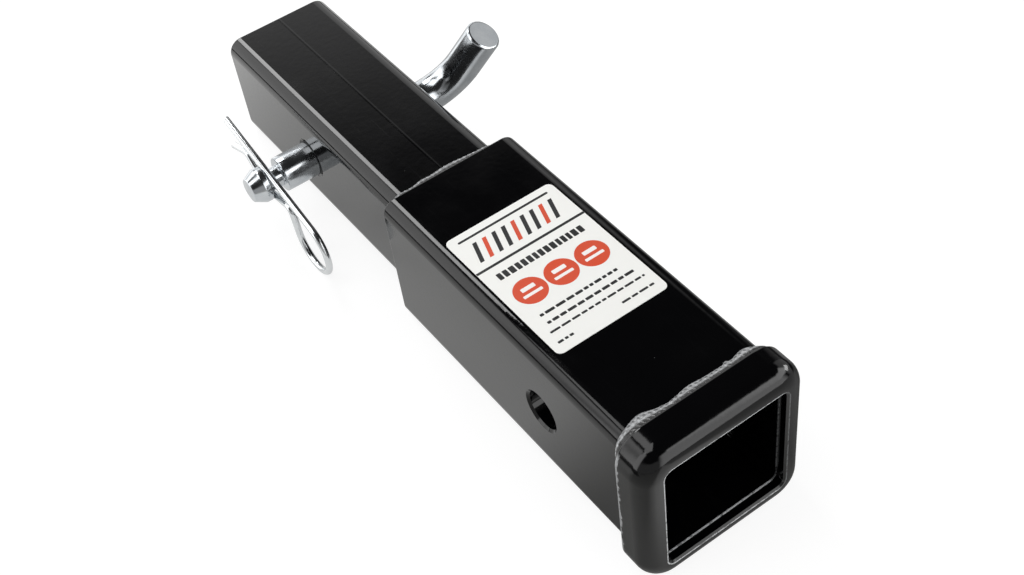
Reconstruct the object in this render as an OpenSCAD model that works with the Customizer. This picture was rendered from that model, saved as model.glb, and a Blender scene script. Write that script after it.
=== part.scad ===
// Hitch receiver extender. A square receiver tube with a bullnosed collar
// round its mouth takes a ball mount, and a smaller square shank is welded
// into its back end. A bent pin through the shank, kept by a hairpin clip,
// holds the whole in the vehicle's own receiver.
// Millimetres. The origin is the centre of the receiver's cross hole,
// +X runs along that hole, +Y towards the shank and +Z up.

/* [Shank] */
// Outside width of the square shank, and nominal size of the socket
shank_w = 50.8; // [38:0.1:64]
// Wall of the shank
shank_wall = 6.35; // [3:0.05:8]
// Outside corner radius of the shank
shank_corner_r = 6.4; // [4:0.1:9]
// Distance from the receiver's cross hole to the shank's
hole_spacing = 177.8; // [160:0.1:400]
// Length of the shank behind its cross hole
shank_tail = 65.2; // [30:0.1:150]
// Length of the shank held inside the receiver tube
shank_overlap = 38.1; // [15:0.1:70]

/* [Receiver tube] */
// Play between the socket's wall and the shank inside it, each side
socket_play = 0.8; // [0.3:0.05:1.5]
// Wall of the receiver tube
receiver_wall = 5.55; // [4:0.05:8]
// Outside corner radius of the receiver tube
receiver_corner_r = 6; // [4:0.1:9]
// Depth from the collar's mouth to the receiver's cross hole
mouth_depth = 66.2; // [40:0.1:100]
// Length of the receiver tube behind its cross hole
receiver_tail = 100.5; // [90:0.1:140]
// Inside corner radius of both tubes
tube_bore_r = 2.5; // [1:0.1:4]
// Rounding of the sawn outer edges of both tubes
saw_edge_r = 0.8; // [0.3:0.1:1.5]

/* [Collar] */
// Thickness of the collar outside the receiver tube
collar_wall = 4.65; // [3:0.05:8]
// Length of the collar along the tube
collar_l = 15.8; // [12:0.1:30]
// Depth of the lip that covers the tube's front end
lip_depth = 4; // [2:0.1:6]
// How much wider than the socket the mouth is, each side
mouth_relief = 0.6; // [0:0.05:1.5]
// Corner radius of the mouth
mouth_corner_r = 3; // [2:0.1:5]
// Chamfer round the mouth
mouth_chamfer = 0.8; // [0.3:0.1:1.5]
// Outside corner radius of the collar
collar_corner_r = 12.6; // [9:0.1:15]
// Radius of the collar's bullnose
bullnose_r = 7.7; // [4:0.1:8.5]
// Rounding of the collar's back edge
collar_back_r = 1.2; // [0.5:0.1:2]
// Play between the collar and the tube inside it, each side
collar_play = 0.1; // [0.05:0.05:0.3]

/* [Welds] */
// Leg of the collar weld along the tube, on average
collar_weld_leg = 5.6; // [4:0.1:8]
// Bare strip left between the collar weld and the collar's back edge
collar_weld_inset = 0.3; // [0.1:0.1:1]
// Leg of the back weld along the shank, on average
back_weld_leg = 6.1; // [4:0.1:9]
// Bare strip left between the back weld and the tube's outer edge
back_weld_inset = 0.6; // [0.1:0.1:1.5]
// Distance from one weld ripple to the next
ripple_pitch = 2.2; // [1.8:0.1:4]
// Height of a weld ripple
ripple_h = 0.35; // [0.1:0.05:0.6]
// How far the ends of a ripple's crescent trail behind its middle
ripple_lag = 1.75; // [0:0.05:3]
// Crown of a weld bead above its straight chord
weld_crown = 0.9; // [0.3:0.1:1.5]
// Depth to which a weld bead is fused into the steel
weld_sink = 0.15; // [0.1:0.05:0.3]

/* [Label] */
// Bare strip on the flat of the tube beside the label, each side
label_margin = 0.8; // [0.3:0.1:8]
// Length of the label along the tube
label_l = 72.5; // [40:0.5:80]
// Distance from the tube's back end to the label
label_setback = 34.2; // [20:0.1:60]
// Corner radius of the label
label_corner_r = 2.5; // [1:0.1:5]
// Thickness of the label
label_t = 0.2; // [0.1:0.05:0.4]

/* [Pin] */
// Diameter of the pin
pin_d = 15.875; // [12:0.005:16.5]
// Play of the pin in a cross hole, on the diameter
hole_play = 0.825; // [0.4:0.005:1.5]
// Chamfer at the rim of each cross hole
hole_chamfer = 1; // [0.3:0.1:1.5]
// Spare length of the pin's grip on each side of a receiver tube
grip_spare = 5.2; // [2:0.1:10]
// Place of the middle of the grip, off the centre of the tube
grip_shift = -4.3; // [-5:0.1:5]
// Diameter of the turned neck that the clip sits on
neck_d = 9.5; // [7:0.1:11]
// Width of the turned groove
groove_w = 7.6; // [5:0.1:10]
// Full-diameter stretch between the groove and the tip's taper
head_l = 2.7; // [1:0.1:6]
// Length of the taper at the tip
taper_l = 5.1; // [2:0.1:8]
// Diameter of the flat end of the tip
tip_d = 11.2; // [8:0.1:11.5]
// Broken edge on the groove's shoulders
shoulder_edge = 0.4; // [0.1:0.1:0.8]
// Centreline radius of the pin's bend
bend_r = 22.6; // [18:0.1:35]
// Angle through which the pin is bent
bend_angle = 67.7; // [45:0.1:90]
// Straight length of the handle beyond the bend
handle_l = 20; // [10:0.5:60]
// Lean of the handle out of the upright, towards the mouth
handle_lean = 26.5; // [-60:0.5:60]
// Rounding of the handle's end
handle_edge_r = 1.2; // [0.5:0.1:3]
// Thinning of the pin's rod where it is drawn round the bend
bend_draw = 0.03; // [0.01:0.01:0.2]

/* [Clip] */
// Diameter of the clip's wire
wire_d = 3; // [2:0.1:4]
// Play between the wire and the neck
clip_play = 0.2; // [0.1:0.05:0.4]
// Gap between the wire and the groove's outer shoulder
shoulder_gap = 0.25; // [0.1:0.05:0.8]
// Angle of the clip below the level, loop end down
clip_lean = 14.5; // [0:0.1:15]
// Centreline radius of the clip's loop
loop_r = 12.6; // [9:0.1:14]
// Distance from the pin's axis to the loop's centre
loop_reach = 35.3; // [32:0.1:60]
// Reach of the straight leg beyond the pin's axis
leg_reach = 34.8; // [20:0.1:50]
// Bend radius on both sides of the clip's seat
pinch_r = 3.5; // [3:0.1:6]
// Distance from the inside of the loop to the bend beside it
waist = 6; // [4.5:0.1:12]
// Distance from the pin's axis to the bend on the open side
far_pinch = 17.2; // [13:0.1:20]
// Gap between the straight leg and the bent leg at both bends
pinch_gap = 2.9; // [2:0.1:5]
// Reach of the flared end beyond the pin's axis
flare_reach = 30.5; // [26:0.1:40]
// Distance of the flared end from the straight leg
flare_gap = 14.6; // [11:0.1:18]
// Rounding of the wire's cut ends
wire_edge_r = 0.5; // [0.1:0.1:1]

/* [Hidden] */
$fn = 64;
// Overrun of a cutting shape past the surface it cuts
cut = 1;
// Depth to which the pin's bend is rooted in its straight grip
bend_root = 0.3;

// Half widths of the square sections, worked out from the shank
shank_half = shank_w / 2;
socket_half = shank_half + socket_play;
receiver_half = socket_half + receiver_wall;
collar_half = receiver_half + collar_wall;
mouth_half = socket_half + mouth_relief;

// Places along Y
mouth_y = -mouth_depth;
receiver_front_y = mouth_y + lip_depth;
collar_back_y = mouth_y + collar_l;
shank_front_y = receiver_tail - shank_overlap;
shank_l = hole_spacing + shank_tail - shank_front_y;
receiver_l = receiver_tail - receiver_front_y;

// Pin and clip
pin_r = pin_d / 2;
hole_r = (pin_d + hole_play) / 2;
grip_l = 2 * (receiver_half + grip_spare);
bend_x = grip_shift + grip_l / 2;
neck_r = neck_d / 2;
wire_r = wire_d / 2;
clip_x = bend_x - grip_l - groove_w + shoulder_gap + wire_r;
seat_r = neck_r + clip_play + wire_r;
near_pinch = loop_reach - loop_r - waist;

// Where the welder slowed, sped up, or stopped and started again round each
// bead, as [share of the turn, half width, height]. A turn starts at the
// bottom of the +X side and climbs.
collar_weld_stops = [[0.05, 0.03, -0.1], [0.288, 0.028, 0.2], [0.38, 0.03, -0.12], [0.437, 0.012, 0.24],
                     [0.47, 0.012, 0.26], [0.64, 0.02, 0.2], [0.86, 0.02, 0.18]];
back_weld_stops = [[0.12, 0.02, 0.16], [0.34, 0.04, 0.16], [0.4, 0.013, 0.12], [0.437, 0.02, -0.14],
                   [0.7, 0.02, 0.18], [0.93, 0.03, -0.1]];

// Colours
steel_black = "#15171a";
weld_black = "#2b2e33";
zinc = "#c9ccd0";
label_white = "#f1f1ee";

// Flat shapes

// Rectangle about the origin with rounded corners
module rounded_rect(w, l, r) {
    square([w - 2 * r, l], center = true);
    square([w, l - 2 * r], center = true);
    for (x = [-1, 1], y = [-1, 1])
        translate([x * (w / 2 - r), y * (l / 2 - r)])
            circle(r);
}

// What a corner loses when it is rounded, drawn from the arc's centre outward
module corner_waste(r) {
    difference() {
        square(r + cut);
        circle(r);
    }
}

// Edge of a block as wide as its corner radius, rounded at its front and back
module edge_profile(width, depth, front_r, back_r) {
    difference() {
        square([width, depth]);
        translate([width - front_r, front_r])
            mirror([0, 1])
                corner_waste(front_r);
        translate([width - back_r, depth - back_r])
            corner_waste(back_r);
    }
}

// Square sections

// Turns what is built along Z so that it runs along Y from the given place
module along_y(from) {
    translate([0, from, 0])
        rotate([-90, 0, 0])
            children();
}

// Rounded-square block whose four sides and corners carry the edge profile
// that is its child. The corners' centres lie at the core's corners.
module edged_block(core, depth) {
    translate([-core, -core, 0])
        cube([2 * core, 2 * core, depth]);
    for (turn = [0:90:270])
        rotate([0, 0, turn])
            translate([core, core, 0]) {
                rotate_extrude(angle = 90)
                    children();
                rotate([90, 0, 0])
                    linear_extrude(2 * core)
                        children();
            }
}

// Square tube with its outer edges broken where it was sawn
module square_tube(half, bore_half, corner_r, length) {
    difference() {
        edged_block(half - corner_r, length)
            edge_profile(corner_r, length, saw_edge_r, saw_edge_r);
        translate([0, 0, -cut])
            linear_extrude(length + 2 * cut)
                rounded_rect(2 * bore_half, 2 * bore_half, tube_bore_r);
    }
}

// Cross hole along X through both walls of a tube, with chamfered rims
module cross_hole(half) {
    rotate([0, 90, 0])
        rotate_extrude() {
            translate([0, -half - cut])
                square([hole_r, 2 * (half + cut)]);
            for (side = [0, 1])
                mirror([0, side])
                    polygon([
                        [0, half - hole_chamfer],
                        [hole_r, half - hole_chamfer],
                        [hole_r + hole_chamfer + cut, half + cut],
                        [0, half + cut]
                    ]);
        }
}

// Weld beads

// Unit vector at an angle
function unit(a) = [cos(a), sin(a)];

// Length once round a rounded square
function round_length(half, r) = 8 * (half - r) + 2 * PI * r;

// Place and outward angle at a distance round a rounded square, which starts
// at the lower end of the +X side and climbs towards +Z
function round_at(half, r, s) =
    let (
        side = 2 * (half - r),
        quarter = side + PI * r / 2,
        lap = s - round_length(half, r) * floor(s / round_length(half, r)),
        q = min(floor(lap / quarter), 3),
        along = lap - q * quarter,
        a = 90 * q,
        swing = max(along - side, 0) / r * 180 / PI
    )
    along < side
        ? [half * unit(a) + (along - side / 2) * unit(a + 90), a]
        : [(half - r) * (unit(a) + unit(a + 90)) + r * unit(a + swing), a + swing];

// Sum of a list of numbers
function total(list, from = 0) = from < len(list) ? list[from] + total(list, from + 1) : 0;

// Slow swell of a bead along its length, about 1, with its stops
function swell(turn, stops) =
    1 + 0.05 * sin(3 * 360 * turn + 40) + 0.04 * sin(7 * 360 * turn)
    + total([for (stop = stops) stop[2] * exp(-pow((turn - stop[0]) / stop[1], 2))]);

// Fillet bead once round a tube: out is its leg on the face that it climbs
// and along its leg on the tube. Each ripple is a crescent of rings that
// rises and then drops to the next one.
module weld_bead(half, corner_r, out, along, stops) {
    ripple_rings = 3;
    face_points = 6;
    ripples = round(round_length(half, corner_r) / ripple_pitch);
    rings = ripples * ripple_rings;
    step = round_length(half, corner_r) / rings;
    // Points of one ring: the bead's face from toe to toe, then its root
    function ring(j) =
        let (
            size = swell(j / rings, stops),
            rise = (j % ripple_rings) / (ripple_rings - 1) * ripple_h,
            toe_out = [out * min(size, 1), -weld_sink],
            toe_along = [-weld_sink, along * size],
            chord = toe_along - toe_out,
            bulge = [chord[1], -chord[0]] / norm(chord)
        )
        concat(
            [for (k = [0:face_points - 1])
                let (
                    a = k / (face_points - 1),
                    arch = 4 * a * (1 - a),
                    lag = ripple_lag * (1 - arch),
                    at = round_at(half, corner_r, j * step - lag),
                    p = toe_out + a * chord + (weld_crown + rise) * arch * bulge
                )
                let (xz = at[0] + p[0] * unit(at[1]))
                [xz[0], p[1], xz[1]]],
            [let (
                at = round_at(half, corner_r, j * step),
                xz = at[0] - weld_sink * unit(at[1])
            )
                [xz[0], -weld_sink, xz[1]]]
        );
    sides = face_points + 1;
    // Two triangles between neighbouring points of neighbouring rings
    function quad(j, k) =
        let (
            a = j * sides + k,
            b = j * sides + (k + 1) % sides,
            c = ((j + 1) % rings) * sides + (k + 1) % sides,
            d = ((j + 1) % rings) * sides + k
        )
        [[a, b, c], [a, c, d]];
    polyhedron(
        points = [for (j = [0:rings - 1]) each ring(j)],
        faces = [for (j = [0:rings - 1], k = [0:sides - 1]) each quad(j, k)]
    );
}

// Bent wire

// Heading of the straight run from one bend to the next. A bend is
// [centre, radius], its radius positive where the wire turns left, negative
// where it turns right and nought at an end.
function heading(a, b) =
    let (run = b[0] - a[0])
    atan2(run[1], run[0]) - asin((b[1] - a[1]) / norm(run));

// Point at which a run with this heading touches a bend
function touch(bend, angle) = bend[0] - bend[1] * unit(angle + 90);

// Headings of the runs that enter and leave one bend of a list
function turn_at(bends, i) = [heading(bends[i - 1], bends[i]), heading(bends[i], bends[i + 1])];

// Rings of a bar's rounded end, as [distance from the end, radius]
function end_rings(r, edge) =
    [for (a = [90:-30:0]) [edge * (1 - sin(a)), r - edge * (1 - cos(a))]];

// Rings along one bend, as [place, heading, radius of the bar]
function bend_rings(bend, turn, r, step) =
    let (
        sense = sign(bend[1]),
        turned = sense * (turn[1] - turn[0]),
        sweep = turned - 360 * floor(turned / 360),
        count = ceil(sweep / step)
    )
    [for (k = [0:count])
        let (at = turn[0] + sense * sweep * k / count)
        [touch(bend, at), at, r]];

// Round bar that follows a list of bends in the XY plane, rounded at its end
// and, where start_edge isn't nought, at its start
module bent_bar(bends, r, sides, step, start_edge, end_edge) {
    last = len(bends) - 1;
    set_out = heading(bends[0], bends[1]);
    arrive = heading(bends[last - 1], bends[last]);
    start = start_edge > 0 ? end_rings(r, start_edge) : [[0, r]];
    end = end_rings(r, end_edge);
    rings = concat(
        [for (e = start) [bends[0][0] + e[0] * unit(set_out), set_out, e[1]]],
        [for (i = [1:last - 1]) each bend_rings(bends[i], turn_at(bends, i), r, step)],
        [for (k = [len(end) - 1:-1:0]) [bends[last][0] - end[k][0] * unit(arrive), arrive, end[k][1]]]
    );
    count = len(rings);
    polyhedron(
        points = [for (ring = rings, k = [0:sides - 1])
            let (
                a = 360 * k / sides,
                xy = ring[0] + ring[2] * cos(a) * unit(ring[1] + 90)
            )
            [xy[0], xy[1], ring[2] * sin(a)]],
        faces = concat(
            [[for (k = [0:sides - 1]) k]],
            [for (j = [0:count - 2], k = [0:sides - 1])
                [j * sides + k, (j + 1) * sides + k,
                 (j + 1) * sides + (k + 1) % sides, j * sides + (k + 1) % sides]],
            [[for (k = [sides - 1:-1:0]) (count - 1) * sides + k]]
        )
    );
}

// Pieces

// Receiver tube, its front end seated behind the collar's lip
module receiver_tube() {
    color(steel_black)
        difference() {
            along_y(receiver_front_y)
                square_tube(receiver_half, socket_half, receiver_corner_r, receiver_l);
            cross_hole(receiver_half);
        }
}

// Forged collar: a bullnosed ring with a lip that covers the tube's end
module collar() {
    seat_half = receiver_half + collar_play;
    seat_r = receiver_corner_r + collar_play;
    mouth_core = mouth_half - mouth_corner_r;
    color(steel_black)
        along_y(mouth_y)
            difference() {
                edged_block(collar_half - collar_corner_r, collar_l)
                    edge_profile(collar_corner_r, collar_l, bullnose_r, collar_back_r);
                translate([0, 0, -cut])
                    linear_extrude(lip_depth + 2 * cut)
                        rounded_rect(2 * mouth_half, 2 * mouth_half, mouth_corner_r);
                translate([0, 0, -cut])
                    edged_block(mouth_core, cut + mouth_chamfer)
                        polygon([
                            [0, 0],
                            [mouth_corner_r + mouth_chamfer + cut, 0],
                            [mouth_corner_r, cut + mouth_chamfer],
                            [0, cut + mouth_chamfer]
                        ]);
                translate([0, 0, lip_depth])
                    linear_extrude(collar_l)
                        rounded_rect(2 * seat_half, 2 * seat_half, seat_r);
            }
}

// Shank, its front end held inside the receiver tube
module shank_tube() {
    color(steel_black)
        difference() {
            along_y(shank_front_y)
                square_tube(shank_half, shank_half - shank_wall, shank_corner_r, shank_l);
            translate([0, hole_spacing, 0])
                cross_hole(shank_half);
        }
}

// Fillet weld behind the collar, from its back face onto the receiver tube
module collar_weld() {
    color(weld_black)
        translate([0, collar_back_y, 0])
            weld_bead(receiver_half, receiver_corner_r,
                      collar_wall - collar_back_r - collar_weld_inset, collar_weld_leg, collar_weld_stops);
}

// Fillet weld at the receiver tube's back end, onto the shank
module back_weld() {
    color(weld_black)
        translate([0, receiver_tail, 0])
            weld_bead(shank_half, shank_corner_r,
                      socket_play + receiver_wall - saw_edge_r - back_weld_inset, back_weld_leg,
                      back_weld_stops);
}

// Vinyl label on the flat top of the receiver tube
module label() {
    flat_w = 2 * (receiver_half - receiver_corner_r);
    color(label_white)
        translate([0, receiver_tail - label_setback - label_l / 2, receiver_half])
            linear_extrude(label_t)
                rounded_rect(flat_w - 2 * label_margin, label_l, label_corner_r);
}

// Bent pin: a turned tip, a plain grip, one bend and a short handle
module hitch_pin() {
    groove_end = grip_l + groove_w;
    head_end = groove_end + head_l;
    handle_from = [0, bend_r] + bend_r * unit(bend_angle - 90);
    color(zinc)
        translate([bend_x, hole_spacing, 0])
            rotate([90 + handle_lean, 0, 0]) {
                rotate([0, -90, 0])
                    rotate_extrude()
                        polygon([
                            [0, 0],
                            [pin_r, 0],
                            [pin_r, grip_l - shoulder_edge],
                            [pin_r - shoulder_edge, grip_l],
                            [neck_r, grip_l],
                            [neck_r, groove_end],
                            [pin_r - shoulder_edge, groove_end],
                            [pin_r, groove_end + shoulder_edge],
                            [pin_r, head_end],
                            [tip_d / 2, head_end + taper_l],
                            [0, head_end + taper_l]
                        ]);
                bent_bar([
                    [[-bend_root, 0], 0],
                    [[0, bend_r], bend_r],
                    [handle_from + handle_l * unit(bend_angle), 0]
                ], pin_r - bend_draw, 36, 6, 0, handle_edge_r);
            }
}

// Hairpin clip astride the pin's neck: a straight leg over it, a round loop,
// and a bent leg that is pinched in on both sides of its seat under the neck
module hairpin_clip() {
    pinch_v = seat_r - wire_d - pinch_gap - pinch_r;
    color(zinc)
        translate([clip_x, hole_spacing, 0])
            rotate([clip_lean, 0, 0])
                rotate([90, 0, -90])
                    bent_bar([
                        [[-leg_reach, seat_r], 0],
                        [[loop_reach, seat_r - loop_r], -loop_r],
                        [[near_pinch, pinch_v], pinch_r],
                        [[0, 0], -seat_r],
                        [[-far_pinch, pinch_v], pinch_r],
                        [[-flare_reach, seat_r - flare_gap], 0]
                    ], wire_r, 14, 15, wire_edge_r, wire_edge_r);
}

receiver_tube();
collar();
shank_tube();
collar_weld();
back_weld();
label();
hitch_pin();
hairpin_clip();
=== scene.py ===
import math
import random

import bpy
from mathutils import Matrix, Vector


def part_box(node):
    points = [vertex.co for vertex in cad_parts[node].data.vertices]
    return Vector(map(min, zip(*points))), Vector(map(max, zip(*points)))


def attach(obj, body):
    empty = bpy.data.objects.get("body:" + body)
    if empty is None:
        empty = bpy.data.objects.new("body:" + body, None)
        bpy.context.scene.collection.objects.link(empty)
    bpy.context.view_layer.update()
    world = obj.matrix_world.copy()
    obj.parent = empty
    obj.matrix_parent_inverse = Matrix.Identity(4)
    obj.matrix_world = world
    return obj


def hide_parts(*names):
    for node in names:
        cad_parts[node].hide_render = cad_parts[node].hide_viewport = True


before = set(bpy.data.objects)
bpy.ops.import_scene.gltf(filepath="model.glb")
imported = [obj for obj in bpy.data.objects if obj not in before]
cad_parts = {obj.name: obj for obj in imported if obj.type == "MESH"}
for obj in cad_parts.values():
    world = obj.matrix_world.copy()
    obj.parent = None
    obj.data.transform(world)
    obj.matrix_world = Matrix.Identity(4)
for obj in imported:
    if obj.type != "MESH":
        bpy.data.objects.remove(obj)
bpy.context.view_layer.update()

# Receiver tube
# A square steel tube, sawn to length, with a cross hole drilled through both side walls. Like all the welded steel
# here it is coated in gloss black powder, which melts in the oven to a hard skin with a faint orange peel.

mm = 0.001


def linear(hex_colour):
    """An sRGB hex colour as the linear RGBA that the shaders take."""
    parts = [int(hex_colour[i:i + 2], 16) / 255 for i in (1, 3, 5)]
    return tuple(c / 12.92 if c <= 0.04045 else ((c + 0.055) / 1.055) ** 2.4 for c in parts) + (1.0,)


def add(tree, kind, inputs={}, **settings):
    """Adds a shader node with its settings. An input is a plain value, or the socket that feeds it."""
    node = tree.nodes.new("ShaderNode" + kind)
    for name, value in settings.items():
        setattr(node, name, value)
    for name, value in inputs.items():
        if isinstance(value, bpy.types.NodeSocket):
            tree.links.new(value, node.inputs[name])
        else:
            node.inputs[name].default_value = value
    return node


def finish_of(name):
    """An empty material, with its node tree."""
    material = bpy.data.materials.new(name)
    material.use_nodes = True
    material.node_tree.nodes.clear()
    return material, material.node_tree


def powder_coat(name, peel=2.4, peel_depth=0.011, gloss=0.06, relief=None, painted_highlight=None):
    """Gloss black polyester powder coat. It gives the eye a deep black with crisp reflections that wobble a little
    over the orange peel, a haze of handling marks, and a few dust nibs caught in the film. peel and peel_depth are
    the orange peel's pitch and height in mm, relief adds a height in metres of the steel below, and the last argument
    says where a painted highlight goes, a light grey line on a rougher film along a rim or over a weld."""
    material, tree = finish_of(name)
    place = add(tree, "TexCoord").outputs["Object"]
    # Orange peel, with a finer skin of powder grain on it
    swells = add(tree, "TexNoise", {"Vector": place, "Scale": 1 / (peel * mm), "Detail": 1.0, "Roughness": 0.4})
    grain = add(tree, "TexNoise", {"Vector": place, "Scale": 1 / (0.5 * mm), "Detail": 1.0})
    # Dust nibs about 0.4 mm across and 9 mm apart, of which most are too small to see
    nibs = add(tree, "TexVoronoi", {"Vector": place, "Scale": 1 / (9 * mm), "Randomness": 1.0})
    rank = add(tree, "SeparateColor", {"Color": nibs.outputs["Color"]}).outputs[0]
    reach = add(tree, "MapRange", {"Value": rank, "From Min": 0.55, "From Max": 1.0, "To Min": 0.0, "To Max": 0.035})
    nib = add(tree, "Math", {0: nibs.outputs["Distance"], 1: reach.outputs[0]}, operation="LESS_THAN").outputs[0]
    # Rubbing marks from packing: thin streaks along the part, about 0.4 mm wide and 40 mm long
    drawn = add(tree, "Mapping", {"Vector": place, "Scale": (1 / (0.4 * mm), 1 / (40 * mm), 1 / (0.4 * mm))})
    streaks = add(tree, "TexNoise", {"Vector": drawn.outputs[0], "Scale": 1.0, "Detail": 2.0})
    streak = add(tree, "MapRange", {"Value": streaks.outputs[0], "From Min": 0.62, "From Max": 0.8,
                                    "To Min": 0.0, "To Max": 1.0}).outputs[0]
    # Haze of handling, in clouds about 30 mm across
    clouds = add(tree, "TexNoise", {"Vector": place, "Scale": 1 / (30 * mm), "Detail": 4.0, "Roughness": 0.6})
    haze = add(tree, "MapRange", {"Value": clouds.outputs[0], "From Min": 0.35, "From Max": 0.7,
                                  "To Min": gloss - 0.02, "To Max": gloss + 0.07}).outputs[0]
    rubbed = add(tree, "Math", {0: streak, 1: 0.08, 2: haze}, operation="MULTIPLY_ADD").outputs[0]
    roughness = add(tree, "Math", {0: nib, 1: 0.25, 2: rubbed}, operation="MULTIPLY_ADD").outputs[0]
    film = add(tree, "Mix", {0: clouds.outputs[0], 6: linear("#030304"), 7: linear("#050506")}, data_type="RGBA")
    colour = add(tree, "Mix", {0: nib, 6: film.outputs[2], 7: linear("#2b2c2e")}, data_type="RGBA").outputs[2]
    # Painted highlight: a light grey and a rougher film wherever the given mask says
    if painted_highlight is not None:
        painted_highlight_mask = painted_highlight(tree, place)
        colour = add(tree, "Mix", {0: painted_highlight_mask, 6: colour, 7: linear("#c6c8ca")}, data_type="RGBA").outputs[2]
        roughness = add(tree, "Math", {0: painted_highlight_mask, 1: 0.3, 2: roughness}, operation="MULTIPLY_ADD").outputs[0]
    height = add(tree, "Math", {0: grain.outputs[0], 1: 0.12, 2: swells.outputs[0]},
                 operation="MULTIPLY_ADD").outputs[0]
    raised = add(tree, "Math", {0: nib, 1: 1.2, 2: height}, operation="MULTIPLY_ADD").outputs[0]
    bump = add(tree, "Bump", {"Height": raised, "Distance": peel_depth * mm, "Strength": 1.0})
    if relief is not None:
        below = add(tree, "Bump", {"Height": relief(tree, place), "Distance": 1.0, "Strength": 1.0})
        tree.links.new(below.outputs[0], bump.inputs["Normal"])
    surface = add(tree, "BsdfPrincipled", {"Base Color": colour, "Roughness": roughness, "IOR": 1.5,
                                           "Normal": bump.outputs[0]})
    add(tree, "OutputMaterial", {"Surface": surface.outputs[0]})
    return material


def dress(node, material):
    """Gives a CAD node its finish."""
    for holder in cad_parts[node].material_slots:
        holder.material = material


def rim_highlight(core, near, far, y_end):
    """Says where a painted highlight lies, a light grey line round a square mouth's rim: between near and far from a
    core square whose half width is core, and in front of y_end, all in mm. Noise breaks the line up, and hardly any of
    it is left on the side of +X, which lies in shade."""
    def where(tree, place):
        folded = add(tree, "VectorMath", {0: place}, operation="ABSOLUTE").outputs[0]
        past = add(tree, "VectorMath", {0: folded, 1: (core * mm, 1.0, core * mm)}, operation="SUBTRACT").outputs[0]
        kept = add(tree, "VectorMath", {0: past, 1: (0.0, 0.0, 0.0)}, operation="MAXIMUM").outputs[0]
        out = add(tree, "VectorMath", {0: kept}, operation="LENGTH").outputs["Value"]
        middle, half_width = (near + far) / 2, (far - near) / 2
        off = add(tree, "Math", {0: out, 1: middle * mm}, operation="SUBTRACT").outputs[0]
        away = add(tree, "Math", {0: off}, operation="ABSOLUTE").outputs[0]
        inside = add(tree, "MapRange", {"Value": away, "From Min": (half_width - 0.1) * mm, "From Max": half_width * mm,
                                        "To Min": 1.0, "To Max": 0.0}).outputs[0]
        across, along, _ = add(tree, "SeparateXYZ", {0: place}).outputs
        lit_side = add(tree, "MapRange", {"Value": across, "From Min": (core - 1) * mm, "From Max": (core + 2) * mm,
                                        "To Min": 1.0, "To Max": 0.2}).outputs[0]
        front = add(tree, "MapRange", {"Value": along, "From Min": (y_end - 0.1) * mm, "From Max": (y_end + 0.1) * mm,
                                       "To Min": 1.0, "To Max": 0.0}).outputs[0]
        breaks = add(tree, "TexNoise", {"Vector": place, "Scale": 1 / (1.6 * mm), "Detail": 2.0}).outputs[0]
        broken_up = add(tree, "MapRange", {"Value": breaks, "From Min": 0.36, "From Max": 0.5, "To Min": 0.35,
                                           "To Max": 1.0}).outputs[0]
        line = add(tree, "Math", {0: inside, 1: lit_side}, operation="MULTIPLY").outputs[0]
        band = add(tree, "Math", {0: line, 1: front}, operation="MULTIPLY").outputs[0]
        return add(tree, "Math", {0: band, 1: broken_up}, operation="MULTIPLY").outputs[0]
    return where


# The tube's coat has a painted highlight round its mouth: a broken light grey line, faint on the side of +X
dress("receiver_tube", powder_coat("receiver_powder_coat", painted_highlight=rim_highlight(23.7, 2.3, 3.3, -61.8)))

# Collar
# A forged ring round the tube's mouth, with a bullnosed front and a lip over the tube's end. The forging's skin was
# shot-blasted before it was coated, so its surface rolls more than the drawn tube's.


def forged_skin(tree, place):
    """Dents and swells of a blasted forging, about 5 mm across and 0.03 mm deep, in metres."""
    swells = add(tree, "TexNoise", {"Vector": place, "Scale": 1 / (5 * mm), "Detail": 2.0, "Roughness": 0.5})
    return add(tree, "Math", {0: swells.outputs[0], 1: 0.03 * mm}, operation="MULTIPLY").outputs[0]


def collar_highlight_and_edge_line(tree, place):
    """Where the collar's coat is painted light grey: a painted highlight round its mouth, and a ragged grey line along
    the back edge of its sides, where the weld ran.
    """
    mouth = rim_highlight(23.8, 3.65, 4.25, -65.7)(tree, place)
    across, along, _ = add(tree, "SeparateXYZ", {0: place}).outputs
    aside = add(tree, "Math", {0: across}, operation="ABSOLUTE").outputs[0]
    side = add(tree, "MapRange", {"Value": aside, "From Min": 34.5 * mm, "From Max": 35.5 * mm}).outputs[0]
    patches = add(tree, "TexNoise", {"Vector": place, "Scale": 1 / (2.2 * mm), "Detail": 2.0}).outputs[0]
    ragged = add(tree, "Math", {0: patches, 1: 3.2 * mm, 2: along}, operation="MULTIPLY_ADD").outputs[0]
    edge = add(tree, "MapRange", {"Value": ragged, "From Min": -50.9 * mm, "From Max": -50.3 * mm,
                                  "To Min": 0.0, "To Max": 0.55}).outputs[0]
    back = add(tree, "Math", {0: side, 1: edge}, operation="MULTIPLY").outputs[0]
    return add(tree, "Math", {0: mouth, 1: back}, operation="MAXIMUM").outputs[0]


# The collar's coat has a painted highlight round its mouth and a ragged grey line on the back edges of its sides
dress("collar", powder_coat("collar_powder_coat", peel=1.9, peel_depth=0.014, gloss=0.08, relief=forged_skin,
                            painted_highlight=collar_highlight_and_edge_line))

# Shank
# The smaller square tube that goes into the vehicle. It is rolled from strip and welded along its length, and the
# scarfed weld shows through the powder coat as one faint line down the top face.

seam_x = 1.0 * mm


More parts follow.
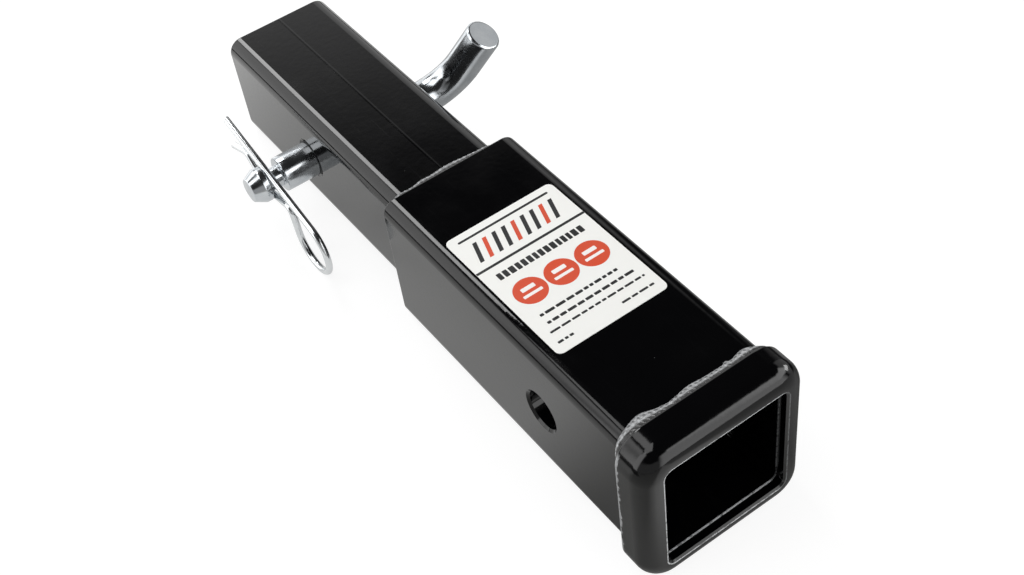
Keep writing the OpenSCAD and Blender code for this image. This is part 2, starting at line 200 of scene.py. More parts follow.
def rolled_seam(tree, place):
    """The low ridge, 1.6 mm wide, that is left where the tube's own weld was planed off, in metres."""
    part = add(tree, "SeparateXYZ", {0: place})
    across = add(tree, "Math", {0: part.outputs[0], 1: seam_x}, operation="SUBTRACT").outputs[0]
    away = add(tree, "Math", {0: across}, operation="ABSOLUTE").outputs[0]
    return add(tree, "MapRange", {"Value": away, "From Min": 0.0, "From Max": 0.8 * mm, "To Min": 0.03 * mm,
                                  "To Max": 0.0}, interpolation_type="SMOOTHSTEP").outputs[0]


dress("shank_tube", powder_coat("shank_powder_coat", relief=rolled_seam))

# Weld beads
# Two fillet beads, laid by hand in one pass each: one behind the collar and one at the receiver tube's back end.
# Every ripple is a crescent of metal that froze behind the arc, and the powder coat lies over them like paint on
# rope.

ripple_pitch = 2.2
ripple_h = 0.25
ripple_lag = 1.75
weld_sink = 0.15
ripple_rings = 8
face_points = 14
dice = random.Random(7)


def unit(degrees):
    """Unit vector at an angle in a plane."""
    return Vector((math.cos(math.radians(degrees)), math.sin(math.radians(degrees))))


def round_square(half, r, s):
    """Place and outward angle at a distance round a rounded square, from the lower end of the +X side."""
    side = 2 * (half - r)
    quarter = side + math.pi * r / 2
    lap = s % (4 * quarter)
    q = min(int(lap / quarter), 3)
    along = lap - q * quarter
    a = 90 * q
    if along < side:
        return half * unit(a) + (along - side / 2) * unit(a + 90), a
    swing = math.degrees((along - side) / r)
    return (half - r) * (unit(a) + unit(a + 90)) + r * unit(a + swing), a + swing


def swell(turn, stops):
    """Slow swell of a bead along its length, with a lobe wherever the welder stopped and started again."""
    lobes = sum(height * math.exp(-((turn - at) / width) ** 2) for at, width, height in stops)
    return 1 + 0.05 * math.sin(math.radians(1080 * turn + 40)) + 0.04 * math.sin(math.radians(2520 * turn)) + lobes


def made_mesh(name, points, faces, material, sharp=None):
    """A mesh object in the frame's place, smooth except where faces meet at more than the sharp angle."""
    mesh = bpy.data.meshes.new(name)
    mesh.from_pydata([tuple(p) for p in points], [], faces)
    mesh.update()
    mesh.shade_smooth()
    if sharp is not None:
        mesh.set_sharp_from_angle(angle=math.radians(sharp))
    mesh.materials.append(material)
    piece = bpy.data.objects.new(name, mesh)
    bpy.context.scene.collection.objects.link(piece)
    return piece


def weld_bead(name, node, y, half, r, out, along, crown, stops, material):
    """One bead, built as the CAD builds it but with finer ripples of uneven height. out is its leg on the face that
    it climbs, along its leg on the tube and crown its bulge between them, in mm, and they follow the photograph more
    closely than the CAD's. Its UV map counts the ripples, and runs from 0 to 1 across the bead."""
    length = 8 * (half - r) + 2 * math.pi * r
    ripples = round(length / ripple_pitch)
    rings = ripples * ripple_rings
    step = length / rings
    uneven = [dice.uniform(0.75, 1.2) for _ in range(ripples)]
    shifts = [dice.uniform(-0.25, 0.25) for _ in range(ripples)]
    points, places = [], []
    for j in range(rings):
        size = swell(j / rings, stops)
        ripple, part = divmod(j, ripple_rings)
        crest = part / (ripple_rings - 1)
        rise = ripple_h * uneven[ripple] * (1 - (1 - crest) ** 2) * 0.95
        toe_out = Vector((out * min(size, 1), -weld_sink))
        toe_along = Vector((-weld_sink, along * size))
        chord = toe_along - toe_out
        bulge = Vector((chord.y, -chord.x)).normalized()
        for k in range(face_points):
            a = k / (face_points - 1)
            arch = 4 * a * (1 - a)
            lag = ripple_lag * (1 - arch) * (1 + shifts[ripple] * (a - 0.5))
            at, angle = round_square(half, r, j * step - lag)
            p = toe_out + a * chord + (crown + rise) * arch * bulge
            xz = at + p.x * unit(angle)
            points.append((xz.x * mm, (y + p.y) * mm, xz.y * mm))
            places.append((j / ripple_rings, a))
        at, angle = round_square(half, r, j * step)
        xz = at - weld_sink * unit(angle)
        points.append((xz.x * mm, (y - weld_sink) * mm, xz.y * mm))
        places.append((j / ripple_rings, 0.0))
    sides = face_points + 1
    faces = [(j * sides + k, j * sides + (k + 1) % sides,
              (j + 1) % rings * sides + (k + 1) % sides, (j + 1) % rings * sides + k)
             for j in range(rings) for k in range(sides)]
    piece = made_mesh(name, points, faces, material, sharp=55)
    layer = piece.data.uv_layers.new(name="bead")
    for face in piece.data.polygons:
        wraps = face.vertices[0] > face.vertices[2]
        for k in face.loop_indices:
            corner = piece.data.loops[k].vertex_index
            turn_on = ripples if wraps and corner < 2 * sides else 0
            layer.data[k].uv = (places[corner][0] + turn_on, places[corner][1])
    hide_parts(node)
    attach(piece, "extender")
    return piece


def weld_skin(tree, place):
    """Spatter and slag pits too fine for the mesh, 0.6 mm across and up to 0.05 mm high, in metres."""
    pits = add(tree, "TexNoise", {"Vector": place, "Scale": 1 / (0.6 * mm), "Detail": 2.0, "Roughness": 0.6})
    return add(tree, "Math", {0: pits.outputs[0], 1: 0.06 * mm}, operation="MULTIPLY").outputs[0]


def ripple_highlights(tree, place):
    """Says where the weld's coat is painted light grey as a painted highlight: round every ripple's hollow, and in
    patches.
    """
    along, across, _ = add(tree, "SeparateXYZ", {0: add(tree, "TexCoord").outputs["UV"]}).outputs
    part = add(tree, "Math", {0: along}, operation="FRACT").outputs[0]
    ahead = add(tree, "Math", {0: part, 1: 0.5}, operation="SUBTRACT").outputs[0]
    off = add(tree, "Math", {0: across, 1: 0.62}, operation="SUBTRACT").outputs[0]
    spot = add(tree, "CombineXYZ", {0: ahead, 1: off}).outputs[0]
    away = add(tree, "VectorMath", {0: spot, 1: (2.0, 4.5, 0.0)}, operation="MULTIPLY").outputs[0]
    reach = add(tree, "VectorMath", {0: away}, operation="LENGTH").outputs["Value"]
    round_hollow = add(tree, "MapRange", {"Value": reach, "From Min": 0.35, "From Max": 0.8, "To Min": 0.3,
                                          "To Max": 1.0}).outputs[0]
    aside = add(tree, "Math", {0: off}, operation="ABSOLUTE").outputs[0]
    inside = add(tree, "MapRange", {"Value": aside, "From Min": 0.24, "From Max": 0.36, "To Min": 1.0,
                                    "To Max": 0.0}).outputs[0]
    patches = add(tree, "TexNoise", {"Vector": place, "Scale": 1 / (1.1 * mm), "Detail": 1.0}).outputs[0]
    patchy = add(tree, "MapRange", {"Value": patches, "From Min": 0.35, "From Max": 0.6, "To Min": 0.35,
                                  "To Max": 0.8}).outputs[0]
    ridge = add(tree, "Math", {0: round_hollow, 1: inside}, operation="MULTIPLY").outputs[0]
    return add(tree, "Math", {0: ridge, 1: patchy}, operation="MULTIPLY").outputs[0]


# The weld's coat has a painted highlight: light grey round each ripple and in patches
bead_coat = powder_coat("weld_powder_coat", peel=1.2, peel_depth=0.03, gloss=0.14, relief=weld_skin,
                        painted_highlight=ripple_highlights)
weld_bead("collar_bead", "collar_weld", -50.4, 31.75, 6, 3.15, 4.4, 0.4,
          [(0.05, 0.03, -0.1), (0.262, 0.016, 0.36), (0.294, 0.004, 0.2), (0.361, 0.02, 0.2), (0.4, 0.008, -0.08),
           (0.447, 0.022, 0.5), (0.64, 0.02, 0.2), (0.86, 0.02, 0.18)], bead_coat)
weld_bead("back_bead", "back_weld", 100.5, 25.4, 6.4, 4.95, 6.5, 0.85,
          [(0.12, 0.02, 0.16), (0.34, 0.04, 0.16), (0.4, 0.013, 0.12), (0.437, 0.02, -0.14),
           (0.7, 0.02, 0.18), (0.93, 0.03, -0.1)], bead_coat)

# Label
# A die-cut vinyl sticker on the tube's flat top, printed in black and orange-red. The print here is a plain generic
# one: slanting stripes, bars for lines of words, and three discs, laid as films of ink on the vinyl.

label_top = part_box("label")[1].z
ink_film = 0.02 * mm


def vinyl(name, hex_light, hex_dark, gloss):
    """Calendered vinyl or ink on it: a soft sheen, a pebble left by the calender, and faint pressure marks."""
    material, tree = finish_of(name)
    place = add(tree, "TexCoord").outputs["Object"]
    clouds = add(tree, "TexNoise", {"Vector": place, "Scale": 1 / (12 * mm), "Detail": 3.0})
    pebble = add(tree, "TexNoise", {"Vector": place, "Scale": 1 / (0.8 * mm), "Detail": 1.0})
    colour = add(tree, "Mix", {0: clouds.outputs[0], 6: linear(hex_light), 7: linear(hex_dark)}, data_type="RGBA")
    roughness = add(tree, "MapRange", {"Value": clouds.outputs[0], "From Min": 0.3, "From Max": 0.7,
                                       "To Min": gloss - 0.05, "To Max": gloss + 0.08}).outputs[0]
    bump = add(tree, "Bump", {"Height": pebble.outputs[0], "Distance": 0.01 * mm, "Strength": 1.0})
    surface = add(tree, "BsdfPrincipled", {"Base Color": colour.outputs[2], "Roughness": roughness, "IOR": 1.5,
                                           "Normal": bump.outputs[0]})
    add(tree, "OutputMaterial", {"Surface": surface.outputs[0]})
    return material


def bar(x0, x1, y0, y1, r):
    """Outline of a bar with rounded corners, in mm on the label."""
    r = min(r, (x1 - x0) / 2 - 0.01, (y1 - y0) / 2 - 0.01)
    corners = [(x1 - r, y1 - r, 0), (x0 + r, y1 - r, 90), (x0 + r, y0 + r, 180), (x1 - r, y0 + r, 270)]
    return [Vector((x, y)) + r * unit(start + t) for x, y, start in corners for t in (0, 30, 60, 90)]


def disc(x, y, r):
    """Outline of a disc, in mm on the label."""
    return [Vector((x, y)) + r * unit(5 * k) for k in range(72)]


def print_film(name, outlines, material, layer):
    """A film of ink on the label, as thin prisms on the given layer."""
    base = label_top + (layer - 0.9) * ink_film
    points, faces = [], []
    for outline in outlines:
        first, n = len(points), len(outline)
        points += [(p.x * mm, p.y * mm, base) for p in outline]
        points += [(p.x * mm, p.y * mm, base + ink_film) for p in outline]
        faces.append([first + n + k for k in range(n)])
        faces.append([first + n - 1 - k for k in range(n)])
        faces += [(first + k, first + (k + 1) % n, first + n + (k + 1) % n, first + n + k) for k in range(n)]
    piece = made_mesh(name, points, faces, material, sharp=30)
    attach(piece, "extender")
    return piece


dress("label", vinyl("label_white_vinyl", "#f4f4f1", "#ececE8", 0.34))
black_ink = vinyl("label_black_ink", "#161617", "#202022", 0.38)
red_ink = vinyl("label_red_ink", "#d84e2c", "#cc4626", 0.38)
white_ink = vinyl("label_white_ink", "#f7f3f0", "#efe9e6", 0.38)
disc_middles = [(-14.2, 25.3), (-0.1, 25.3), (14.0, 25.3)]
stripe_count = 9
stripe_pitch = 4.4
word_dice = random.Random(11)


def word_line(x0, x1, y, thick, shortest, longest):
    """A line of words as bars of uneven length, from x0 to x1 at the height y on the label."""
    words = []
    while x0 < x1 - shortest / 2:
        end = min(x0 + word_dice.uniform(shortest, longest), x1)
        words.append(bar(x0, end, y - thick / 2, y + thick / 2, 0.3))
        x0 = end + 0.7
    return words


def stripe(k):
    """Outline of one of the slanting stripes across the head of the label, counted from the left."""
    x = stripe_pitch * (k - (stripe_count - 1) / 2)
    return [Vector((x + reach + side, y)) for reach, side, y in
            ((1.6, 0.9, 59.0), (1.6, -0.9, 59.0), (-1.6, -0.9, 48.6), (-1.6, 0.9, 48.6))]


print_film("label_print_black",
           [bar(-24.9, 24.9, 43.9, 45.1, 0.2)]
           + [stripe(k) for k in range(stripe_count) if k % 3 != 1] + [bar(-21.0, 21.0, 61.9, 63.0, 0.5)]
           + word_line(-19.6, 19.6, 38.2, 3.6, 1.5, 2.4)
           + word_line(-19.0, 16.0, 13.0, 1.3, 1.5, 4.2) + word_line(-19.0, 20.0, 8.5, 1.3, 1.5, 4.2)
           + word_line(-21.0, 21.7, 4.2, 1.0, 1.6, 4.4)
           + word_line(-21.7, -13.9, -1.3, 1.1, 1.4, 2.6) + word_line(7.0, 21.6, -1.3, 1.0, 1.6, 4.0),
           black_ink, 1)
print_film("label_print_red",
           [disc(x, y, 6.7) for x, y in disc_middles] + [stripe(k) for k in range(stripe_count) if k % 3 == 1],
           red_ink, 1)
print_film("label_print_white",
           [bar(x - 3.0, x + 3.0, y + 0.7, y + 2.7, 0.4) for x, y in disc_middles]
           + [bar(x - 4.2, x + 4.2, y - 2.3, y - 0.9, 0.3) for x, y in disc_middles],
           white_ink, 2)

# Hitch pin
# A 5/8 inch steel rod, turned at its tip for the clip and bent to a handle, then plated in bright zinc. Turning marks
# ring the tip and the neck, and the plating has the cool white shine of new hardware.

pin_r = 15.875 / 2
bend_x = 32.65
hole_spacing = 177.8
grip_l = 73.9
groove_w = 7.6
head_l = 2.7
taper_l = 5.1
tip_r = 5.6
neck_r = 4.75
bend_r = 22.6
bend_angle = 67.7
handle_l = 20
handle_lean = 26.5
handle_edge_r = 1.2


def bright_zinc(name, hex_light, hex_dark, ring_pitch, depth):
    """Bright zinc electroplate over steel: cool white metal, clear but soft reflections, fine marks of the tool or
    the drawing die below, and patches where the bath left it a little duller. The marks' pitch and depth are in mm."""
    material, tree = finish_of(name)
    run = add(tree, "TexCoord").outputs["UV"]
    place = add(tree, "TexCoord").outputs["Object"]
    # Marks round the bar, finer in life and drawn coarse enough to show
    rings = add(tree, "Mapping", {"Vector": run, "Scale": (1 / (ring_pitch * mm), 1 / (30 * mm), 1.0)})
    turned = add(tree, "TexNoise", {"Vector": rings.outputs[0], "Scale": 1.0, "Detail": 2.0})
    # Drawing lines along the bar
    lines = add(tree, "Mapping", {"Vector": run, "Scale": (1 / (25 * mm), 1 / (0.5 * mm), 1.0)})
    drawn = add(tree, "TexNoise", {"Vector": lines.outputs[0], "Scale": 1.0, "Detail": 1.0})
    clouds = add(tree, "TexNoise", {"Vector": place, "Scale": 1 / (7 * mm), "Detail": 4.0, "Roughness": 0.6})
    colour = add(tree, "Mix", {0: clouds.outputs[0], 6: linear(hex_light), 7: linear(hex_dark)}, data_type="RGBA")
    roughness = add(tree, "MapRange", {"Value": clouds.outputs[0], "From Min": 0.3, "From Max": 0.7,
                                       "To Min": 0.1, "To Max": 0.24}).outputs[0]
    marks = add(tree, "Math", {0: turned.outputs[0], 1: drawn.outputs[0]}, operation="ADD").outputs[0]
    bump = add(tree, "Bump", {"Height": marks, "Distance": depth * mm, "Strength": 1.0})
    surface = add(tree, "BsdfPrincipled", {"Base Color": colour.outputs[2], "Metallic": 1.0, "Roughness": roughness,
                                           "Normal": bump.outputs[0]})
    add(tree, "OutputMaterial", {"Surface": surface.outputs[0]})
    return material


def heading(a, b):
    """Heading of the straight run between two bends. A bend is (centre, radius), negative where it turns right."""
    run = b[0] - a[0]
    return math.degrees(math.atan2(run.y, run.x) - math.asin((b[1] - a[1]) / run.length))


def bend_rings(bend, enter, leave, r, step):
    """Rings round one bend, as (place, heading, radius of the bar)."""
    sense = math.copysign(1, bend[1])
    sweep = sense * (leave - enter) % 360
    count = math.ceil(sweep / step)
    angles = [enter + sense * sweep * k / count for k in range(count + 1)]
    return [(bend[0] - bend[1] * unit(a + 90), a, r) for a in angles]


def straight_rings(place, angle, profile):
    """Rings along a straight run from a place, as (distance, radius) pairs."""
    return [(place + d * unit(angle), angle, r) for d, r in profile]


def rounded(d, r, edge, start, steps=4):
    """(distance, radius) pairs round an edge. start says that the bar begins there, and not that it ends."""
    turns = [90 * k / steps for k in range(steps + 1)]
    if start:
        return [(d + edge * (1 - math.cos(math.radians(t))), r - edge * (1 - math.sin(math.radians(t)))) for t in turns]
    return [(d - edge * (1 - math.sin(math.radians(t))), r - edge * (1 - math.cos(math.radians(t)))) for t in turns]


def round_bar(name, rings, sides, plane, material):
    """A round bar over rings that lie along a plane path, in mm. Its UV map is the distance along and round it in
    metres, and plane carries the drawing into the frame."""
    points, faces, uvs = [], [], []
    run = 0.0
    runs = []
    for i, (place, angle, r) in enumerate(rings):
        if i:
            run += math.hypot((place - rings[i - 1][0]).length, r - rings[i - 1][2])
        runs.append(run)
        for k in range(sides):
            a = 2 * math.pi * k / sides
            flat = place + r * math.cos(a) * unit(angle + 90)
            points.append(plane @ Vector((flat.x, flat.y, r * math.sin(a))) * mm)
    for j in range(len(rings) - 1):
        for k in range(sides):
            faces.append((j * sides + k, (j + 1) * sides + k, (j + 1) * sides + (k + 1) % sides,
                          j * sides + (k + 1) % sides))
            girth = 2 * math.pi * max(r for _, _, r in rings) / sides
            uvs += [(runs[j] * mm, k * girth * mm), (runs[j + 1] * mm, k * girth * mm),
                    (runs[j + 1] * mm, (k + 1) * girth * mm), (runs[j] * mm, (k + 1) * girth * mm)]
    faces.append(list(range(sides)))
    faces.append([(len(rings) - 1) * sides + k for k in range(sides - 1, -1, -1)])
    for ring in (rings[0], rings[-1]):
        uvs += [(ring[2] * mm * math.cos(2 * math.pi * k / sides), ring[2] * mm * math.sin(2 * math.pi * k / sides))
                for k in range(sides)]
    piece = made_mesh(name, points, faces, material, sharp=40)
    layer = piece.data.uv_layers.new(name="rod")
    for loop, uv in zip(layer.data, uvs):
        loop.uv = uv
    return piece


tip = grip_l + groove_w + head_l + taper_l
turned_tip = (
    [(0, 0.01), (0, tip_r - 0.6)] + rounded(0, tip_r, 0.6, True)[1:]
    + [(taper_l - 0.4, pin_r - 0.12), (taper_l, pin_r), (taper_l + 0.5, pin_r)]
    + rounded(taper_l + head_l, pin_r, 0.4, False)
    + [(taper_l + head_l, neck_r + 0.3), (taper_l + head_l + 0.3, neck_r)]
    + [(taper_l + head_l + groove_w - 0.3, neck_r), (taper_l + head_l + groove_w, neck_r + 0.3)]
    + rounded(taper_l + head_l + groove_w, pin_r, 0.4, True)
    + [(tip - d, pin_r) for d in range(70, 0, -5)]
)
handle_start = Vector((0, bend_r)) + bend_r * unit(bend_angle - 90)
pin_rings = straight_rings(Vector((-tip, 0)), 0, turned_tip)
pin_rings += bend_rings((Vector((0, bend_r)), bend_r), 0, bend_angle, pin_r - 0.03, 2)
pin_rings += straight_rings(handle_start, bend_angle,
                            [(5, pin_r - 0.03), (10, pin_r - 0.03), (15, pin_r - 0.03)]
                            + rounded(handle_l, pin_r - 0.03, handle_edge_r, False, 6) + [(handle_l, 0.01)])
pin_place = Matrix.Translation((bend_x, hole_spacing, 0)) @ Matrix.Rotation(math.radians(90 + handle_lean), 4, "X")
pin = round_bar("bent_pin", pin_rings, 72, pin_place, bright_zinc("pin_bright_zinc", "#dfe2e4", "#b7bdc3", 0.45, 0.01))
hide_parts("hitch_pin")
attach(pin, "pin")

# Hairpin clip
# Spring wire, bent to a round loop with one straight leg over the pin's neck and one pinched leg under it, and zinc
# plated. It snaps over the turned neck and keeps the pin from sliding out.

wire_r = 1.5
clip_x = -47.1
seat_r = 6.45
clip_lean = 14.5
loop_r = 12.6
loop_reach = 35.3
leg_reach = 34.8
pinch_r = 3.5
near_pinch = loop_reach - loop_r - 6
far_pinch = 17.2
pinch_v = seat_r - 2 * wire_r - 2.9 - pinch_r
flare_reach = 30.5
flare_gap = 14.6

clip_bends = [(Vector((-leg_reach, seat_r)), 0.0), (Vector((loop_reach, seat_r - loop_r)), -loop_r),
              (Vector((near_pinch, pinch_v)), pinch_r), (Vector((0, 0)), -seat_r),
              (Vector((-far_pinch, pinch_v)), pinch_r), (Vector((-flare_reach, seat_r - flare_gap)), 0.0)]
headings = [heading(a, b) for a, b in zip(clip_bends, clip_bends[1:])]
clip_rings = straight_rings(clip_bends[0][0], headings[0], [(0, 0.01)] + rounded(0, wire_r, 0.5, True))
for bend, enter, leave in zip(clip_bends[1:-1], headings, headings[1:]):
    clip_rings += bend_rings(bend, enter, leave, wire_r, 5)
clip_rings += straight_rings(clip_bends[-1][0], headings[-1], rounded(0, wire_r, 0.5, False) + [(0, 0.01)])
clip_place = (Matrix.Translation((clip_x, hole_spacing, 0)) @ Matrix.Rotation(math.radians(clip_lean), 4, "X")
              @ Matrix.Rotation(math.radians(-90), 4, "Z") @ Matrix.Rotation(math.radians(90), 4, "X"))
clip_zinc = bright_zinc("clip_bright_zinc", "#f1f3f4", "#d8dcdf", 1.5, 0.006)
clip = round_bar("spring_clip", clip_rings, 28, clip_place, clip_zinc)
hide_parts("hairpin_clip")
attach(clip, "clip")

# Floor
# A white table that the extender rests on by the collar's underside and the shank's rear edge. The collar is deeper
# than the shank, so the table slopes a little against the part.

collar_foot = (-51.557, -36.399)
shank_foot = (242.23, -25.4)
slope = math.atan2(shank_foot[1] - collar_foot[1], shank_foot[0] - collar_foot[0])


def white_table(name):
    """Matt white table top. The camera sees it white, with the faint shadow that the object throws. Glossy surfaces see
    painted pools of light that glow behind, before and beyond the part, on a white that is painted dark beyond a lane
    either side of the part and painted less than half as bright to its right, a painted shadow where its own shadow
    lies. The part's sides mirror all of these. All other rays meet a plain pale diffuse white."""
    material, tree = finish_of(name)
    ray = add(tree, "LightPath")
    seen = add(tree, "Math", {0: ray.outputs["Is Camera Ray"], 1: ray.outputs["Is Transmission Ray"]},
               operation="MAXIMUM").outputs[0]
    plain = add(tree, "BsdfDiffuse", {"Color": linear("#d2d2d0")})
    faint = add(tree, "BsdfDiffuse", {"Color": linear("#808080")})
    place = add(tree, "TexCoord").outputs["Object"]
    far = add(tree, "VectorMath", {0: place}, operation="LENGTH").outputs["Value"]
    fill = add(tree, "MapRange", {"Value": far, "From Min": 0.4, "From Max": 1.2, "To Min": 0.85,
                                  "To Max": 1.0}).outputs[0]
    glow = add(tree, "Emission", {"Color": (1, 1, 1, 1), "Strength": fill})
    lit = add(tree, "AddShader", {0: faint.outputs[0], 1: glow.outputs[0]})
    # Where glossy rays see the table lit: dark beyond 0.31 m to either side except in front, and a painted shadow right
    # of the part, where it drops to 0.45
    across, along, _ = add(tree, "SeparateXYZ", {0: place}).outputs
    aside = add(tree, "Math", {0: across}, operation="ABSOLUTE").outputs[0]
    beside = add(tree, "MapRange", {"Value": aside, "From Min": 0.26, "From Max": 0.31, "To Min": 1.0,
                                    "To Max": 0.1}).outputs[0]
    ahead = add(tree, "MapRange", {"Value": along, "From Min": -0.16, "From Max": -0.1, "To Min": 1.0,
                                   "To Max": 0.0}).outputs[0]
    whole = add(tree, "Math", {0: beside, 1: ahead}, operation="MAXIMUM").outputs[0]
    shade = add(tree, "MapRange", {"Value": across, "From Min": 0.03, "From Max": 0.045, "To Min": 1.0,
                                   "To Max": 0.45}).outputs[0]
    sides = add(tree, "Math", {0: whole, 1: shade}, operation="MULTIPLY").outputs[0]
    past = add(tree, "MapRange", {"Value": along, "From Min": 0.3, "From Max": 0.4}).outputs[0]
    off = add(tree, "Math", {0: across, 1: 0.05}, operation="SUBTRACT").outputs[0]
    lane = add(tree, "MapRange", {"Value": add(tree, "Math", {0: off}, operation="ABSOLUTE").outputs[0],
                                  "From Min": 0.18, "From Max": 0.24, "To Min": 1.0, "To Max": 0.0}).outputs[0]
    end = add(tree, "Math", {0: past, 1: lane}, operation="MULTIPLY").outputs[0]
    near = add(tree, "Math", {0: sides, 1: end}, operation="MAXIMUM").outputs[0]
    # Painted pools of light that only glossy rays see: under and beyond the part, far behind it, and before it
    middle = add(tree, "MapRange", {"Value": along, "From Min": -0.03, "From Max": 0.03, "To Min": 0.0,
                                    "To Max": 0.46}, interpolation_type="SMOOTHSTEP").outputs[0]
    behind = add(tree, "MapRange", {"Value": along, "From Min": 0.2, "From Max": 0.34, "To Min": 0.0,
                                    "To Max": 0.6}, interpolation_type="SMOOTHSTEP").outputs[0]
    right = add(tree, "MapRange", {"Value": across, "From Min": -0.06, "From Max": -0.03}).outputs[0]
    front = add(tree, "MapRange", {"Value": along, "From Min": -0.1, "From Max": -0.06, "To Min": 0.6,
                                   "To Max": 0.0}).outputs[0]
    before = add(tree, "Math", {0: front, 1: right}, operation="MULTIPLY").outputs[0]
    back_pool = add(tree, "Math", {0: middle, 1: behind}, operation="ADD").outputs[0]
    pool = add(tree, "Math", {0: back_pool, 1: before}, operation="MAXIMUM").outputs[0]
    strength = add(tree, "Math", {0: pool, 1: near}, operation="MULTIPLY").outputs[0]
    # The painted pools glow, and the white under them is painted dark where the masks above put painted shade
    painted_light_pools = add(tree, "Emission", {"Color": (1, 1, 1, 1), "Strength": strength})
    painted_shade_white = add(tree, "Mix", {0: near, 6: linear("#101010"), 7: linear("#a9a9a7")}, data_type="RGBA")
    shaded = add(tree, "BsdfDiffuse", {"Color": painted_shade_white.outputs[2]})
    shown = add(tree, "AddShader", {0: shaded.outputs[0], 1: painted_light_pools.outputs[0]})
    glossy = add(tree, "MixShader", {0: ray.outputs["Is Glossy Ray"], 1: plain.outputs[0], 2: shown.outputs[0]})
    surface = add(tree, "MixShader", {0: seen, 1: glossy.outputs[0], 2: lit.outputs[0]})
    add(tree, "OutputMaterial", {"Surface": surface.outputs[0]})
    return material


table_size = 3.0
table_points = []
for x, run in ((-1, -1), (1, -1), (1, 1), (-1, 1)):
    y = collar_foot[0] * mm + run * table_size * math.cos(slope)
    table_points.append((x * table_size, y, (collar_foot[1] - 0.02) * mm + run * table_size * math.sin(slope)))
table = made_mesh("white_table", table_points, [(0, 1, 2, 3)], white_table("matt_white_table"))

# Studio
# Four soft panels light the part, and pale cards stand round the table in a dark room, since gloss black shows only
# what it mirrors. Both were placed from the reflections in the photograph. The camera itself sees white all round.

aim = Vector((0.0, 0.09, 0.0))


def towards(azimuth, elevation):
    """Unit vector, with the azimuth turned from +Y towards +X and both angles in degrees."""
    a, e = math.radians(azimuth), math.radians(elevation)
    return Vector((math.sin(a) * math.cos(e), math.cos(a) * math.cos(e), math.sin(e)))


def panel_lamp(name, azimuth, elevation, distance, width, height, level):
    """A soft panel that faces the part. level is its brightness, where 1 is white, and sizes are in metres."""
    lamp = bpy.data.lights.new(name, "AREA")
    lamp.shape = "RECTANGLE"
    lamp.size = width
    lamp.size_y = height
    lamp.energy = level * math.pi * width * height
    holder = bpy.data.objects.new(name, lamp)
    bpy.context.scene.collection.objects.link(holder)
    out = towards(azimuth, elevation)
    holder.matrix_world = Matrix.Translation(aim + distance * out) @ out.to_track_quat("Z", "Y").to_matrix().to_4x4()
    holder.visible_camera = False
    return holder


key = panel_lamp("key_panel", -118, 55, 1.2, 0.9, 0.8, 0.9)
key.visible_glossy = False
panel_lamp("low_right_panel", 106, 15, 1.2, 0.42, 0.26, 6.0)
panel_lamp("high_left_panel", -55, 70, 1.3, 0.8, 0.6, 2.0)
panel_lamp("high_back_strip", 4, 45, 1.3, 0.33, 0.55, 6.5)

world = bpy.data.worlds.new("studio")
bpy.context.scene.world = world
world.use_nodes = True
sky = world.node_tree
sky.nodes.clear()
gaze = add(sky, "TexCoord").outputs["Generated"]
rise = add(sky, "SeparateXYZ", {0: gaze}).outputs[2]
flat = add(sky, "VectorMath", {0: gaze, 1: (1.0, 1.0, 0.0)}, operation="MULTIPLY").outputs[0]
bearing = add(sky, "VectorMath", {0: flat}, operation="NORMALIZE").outputs[0]
height = add(sky, "Math", {0: add(sky, "Math", {0: rise}, operation="ARCSINE").outputs[0], 1: 180 / math.pi},
             operation="MULTIPLY").outputs[0]


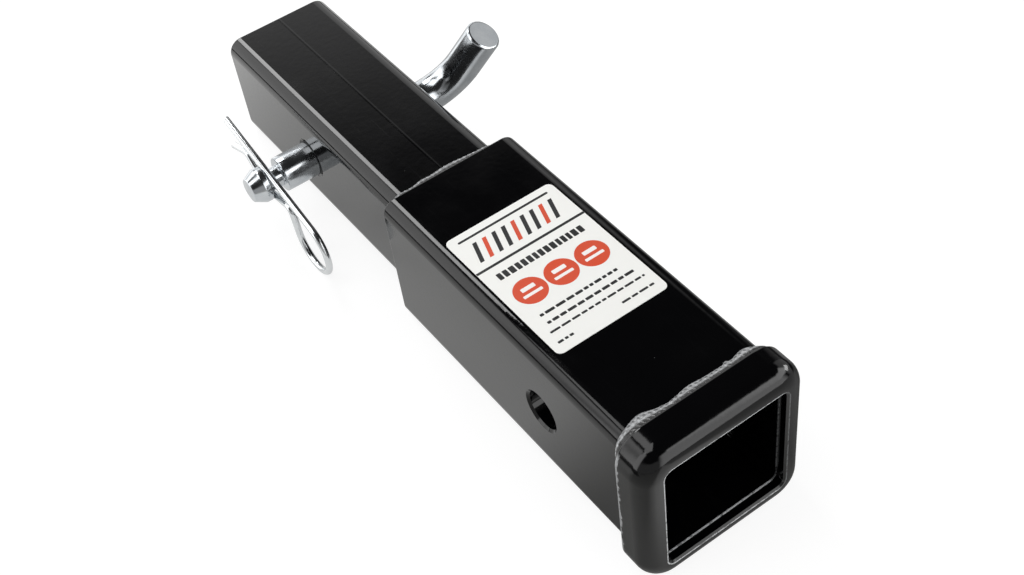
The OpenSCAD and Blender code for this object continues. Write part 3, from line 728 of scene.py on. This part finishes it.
def card(azimuth, half_width, side_edge, foot, top, edge, level):
    """Brightness of one card that stands round the table, from foot to top, with its soft edges, all in degrees."""
    ahead = add(sky, "VectorMath", {0: bearing, 1: towards(azimuth, 0)}, operation="DOT_PRODUCT").outputs["Value"]
    wide = add(sky, "MapRange", {"Value": ahead, "From Min": math.cos(math.radians(half_width + side_edge)),
                                 "From Max": math.cos(math.radians(half_width)), "To Min": 0.0, "To Max": level},
               interpolation_type="SMOOTHSTEP").outputs[0]
    past_foot = add(sky, "Math", {0: height, 1: (foot + top) / 2}, operation="SUBTRACT").outputs[0]
    off = add(sky, "Math", {0: past_foot}, operation="ABSOLUTE").outputs[0]
    tall = add(sky, "MapRange", {"Value": off, "From Min": (top - foot) / 2, "From Max": (top - foot) / 2 + edge,
                                 "To Min": 1.0, "To Max": 0.0}, interpolation_type="SMOOTHSTEP").outputs[0]
    return add(sky, "Math", {0: wide, 1: tall}, operation="MULTIPLY").outputs[0]


level = card(0, 179, 1, -90, 90, 1, 0.02)
for one_card in (card(28, 15, 12, -10, 29, 15, 1.0), card(12, 14, 8, -10, 12, 6, 1.2),
                 card(90, 20, 12, -10, 36, 8, 0.6), card(128, 20, 14, 21, 40, 7, 3.0), card(158, 14, 22, -10, 38, 8, 2.1),
                 card(-125, 55, 15, -10, 24, 10, 0.35), card(-72, 10, 8, -10, 52, 5, 2.2),
                 card(-32, 16, 16, -10, 44, 6, 1.8)):
    level = add(sky, "Math", {0: level, 1: one_card}, operation="MAXIMUM").outputs[0]
studio_light = add(sky, "Background", {"Color": (1, 1, 1, 1), "Strength": level})
backdrop = add(sky, "Background", {"Color": (1, 1, 1, 1), "Strength": 1.0})
path = add(sky, "LightPath")
seen = add(sky, "Math", {0: path.outputs["Is Camera Ray"], 1: path.outputs["Is Transmission Ray"]},
           operation="MAXIMUM").outputs[0]
view = add(sky, "MixShader", {0: seen, 1: studio_light.outputs[0], 2: backdrop.outputs[0]})
add(sky, "OutputWorld", {"Surface": view.outputs[0]})

# Camera
# Held above the part's left front corner and looking down along it. The lens, place and tilt are worked out from the
# photograph.

camera_data = bpy.data.cameras.new("camera")
camera_data.sensor_width = 36
camera_data.lens = 52.775
camera_data.clip_start = 0.01
camera = bpy.data.objects.new("camera", camera_data)
bpy.context.scene.collection.objects.link(camera)
station = Vector((-201.495, -294.496, 430.815)) * mm
sight = (Vector((-3.862, 57.012, 0.0)) * mm - station).normalized()
level_right = sight.cross(Vector((0, 0, 1))).normalized()
level_up = level_right.cross(sight)
tilt = math.radians(8.726)
right = math.cos(tilt) * level_right - math.sin(tilt) * level_up
up = math.cos(tilt) * level_up + math.sin(tilt) * level_right
camera.matrix_world = Matrix.Translation(station) @ Matrix((right, up, -sight)).transposed().to_4x4()
bpy.context.scene.camera = camera
bpy.context.scene.view_settings.view_transform = "Standard"
